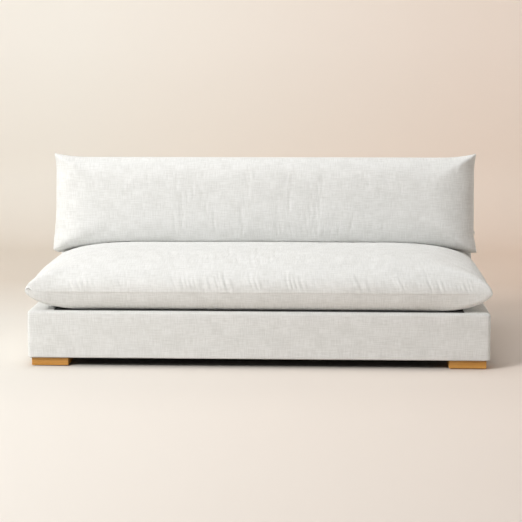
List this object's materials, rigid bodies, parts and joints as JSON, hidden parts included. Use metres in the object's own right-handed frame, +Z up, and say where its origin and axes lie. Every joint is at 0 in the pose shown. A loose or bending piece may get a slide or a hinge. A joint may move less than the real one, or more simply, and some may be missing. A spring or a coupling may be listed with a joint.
{
  "type": "armless sofa",
  "caption": "Low armless sofa with an upholstered base and back on block feet, one full-width loose seat cushion and one full-width loose back cushion.",
  "frame": {"origin": "on the floor, under the middle of the whole sofa", "axes": "+X to the viewer's right when facing the front, the front faces -Y, +Z up"},
  "size_m": [1.9342, 0.9401, 0.8427],
  "materials": {
    "cover_fabric": "matte",
    "casing_cloth": "matte",
    "fibre_fill": "matte",
    "foam": "matte",
    "spring_felt": "matte",
    "pad_felt": "matte",
    "dust_cloth": "matte",
    "webbing": "matte",
    "oak": "satin",
    "frame_wood": "matte",
    "fibreboard": "matte",
    "spring_steel": "satin",
    "zinc_steel": "satin",
    "clip_plastic": "matte",
    "zip_tape": "matte",
    "zip_coil": "satin",
    "zip_metal": "satin"
  },
  "bodies": {
    "frame": {"front_rail": "frame_wood", "rear_rail": "frame_wood", "left_end_rail": "frame_wood", "right_end_rail": "frame_wood", "left_cross_rail": "frame_wood", "centre_cross_rail": "frame_wood", "right_cross_rail": "frame_wood", "seat_rear_rail": "frame_wood", "frame_screws": "zinc_steel", "foot_plates": "frame_wood", "corner_blocks": "frame_wood", "foot_front_left": "oak", "foot_front_right": "oak", "foot_rear_left": "oak", "foot_rear_right": "oak", "centre_leg": "oak", "foot_pads": "pad_felt", "foot_screws": "zinc_steel", "seat_springs": "spring_steel", "spring_clips": "clip_plastic", "spring_ties": "spring_steel", "base_cover": "cover_fabric", "deck_foam": "foam", "spring_pad": "spring_felt", "border_padding": "fibre_fill", "edge_roll": "fibre_fill", "dust_cover": "dust_cloth", "back_left_post": "frame_wood", "back_centre_post": "frame_wood", "back_right_post": "frame_wood", "back_left_end_panel": "frame_wood", "back_right_end_panel": "frame_wood", "back_bottom_rail": "frame_wood", "back_top_rail": "frame_wood", "back_rear_board": "fibreboard", "back_bolts": "zinc_steel", "back_nuts": "zinc_steel", "back_cover": "cover_fabric", "back_foam": "foam", "back_wadding": "fibre_fill", "back_webbing": "webbing"},
    "seat_cushion": {"seat_cushion_cover": "cover_fabric", "seat_cushion_casing": "casing_cloth", "seat_cushion_fill": "fibre_fill", "seat_cushion_core": "foam", "seat_zip_tape": "zip_tape", "seat_zip_coil": "zip_coil", "seat_zip_stops": "zip_metal"},
    "back_cushion": {"back_cushion_cover": "cover_fabric", "back_cushion_casing": "casing_cloth", "back_cushion_fill": "fibre_fill", "back_zip_tape": "zip_tape", "back_zip_coil": "zip_coil", "back_zip_stops": "zip_metal"},
    "seat_slider": {"seat_zip_slider": "zip_metal"},
    "seat_pull": {"seat_zip_pull": "zip_metal"},
    "back_slider": {"back_zip_slider": "zip_metal"},
    "back_pull": {"back_zip_pull": "zip_metal"}
  },
  "joints": [
    {"name": "seat_cushion_lift", "type": "slide", "parent": "frame", "child": "seat_cushion", "axis": [0, 0, 1], "range_m": [0, 0.45]},
    {"name": "back_cushion_lift", "type": "slide", "parent": "seat_cushion", "child": "back_cushion", "axis": [0, 0, 1], "range_m": [0, 0.5]},
    {"name": "seat_zip_slide", "type": "slide", "parent": "seat_cushion", "child": "seat_slider", "axis": [-1, 0, 0], "range_m": [0, 1.58]},
    {"name": "seat_zip_pull_swing", "type": "hinge", "parent": "seat_slider", "child": "seat_pull", "pos_m": [0.7907, 0.3295, 0.322], "axis": [0, 0, -1], "range_deg": [0, 90]},
    {"name": "back_zip_slide", "type": "slide", "parent": "back_cushion", "child": "back_slider", "axis": [0, 0.1392, 0.9903], "range_m": [0, 0.26]},
    {"name": "back_zip_pull_swing", "type": "hinge", "parent": "back_slider", "child": "back_pull", "pos_m": [0.9615, 0.21212, 0.48838], "axis": [0, -0.9903, 0.1392], "range_deg": [0, 100]}
  ]
}
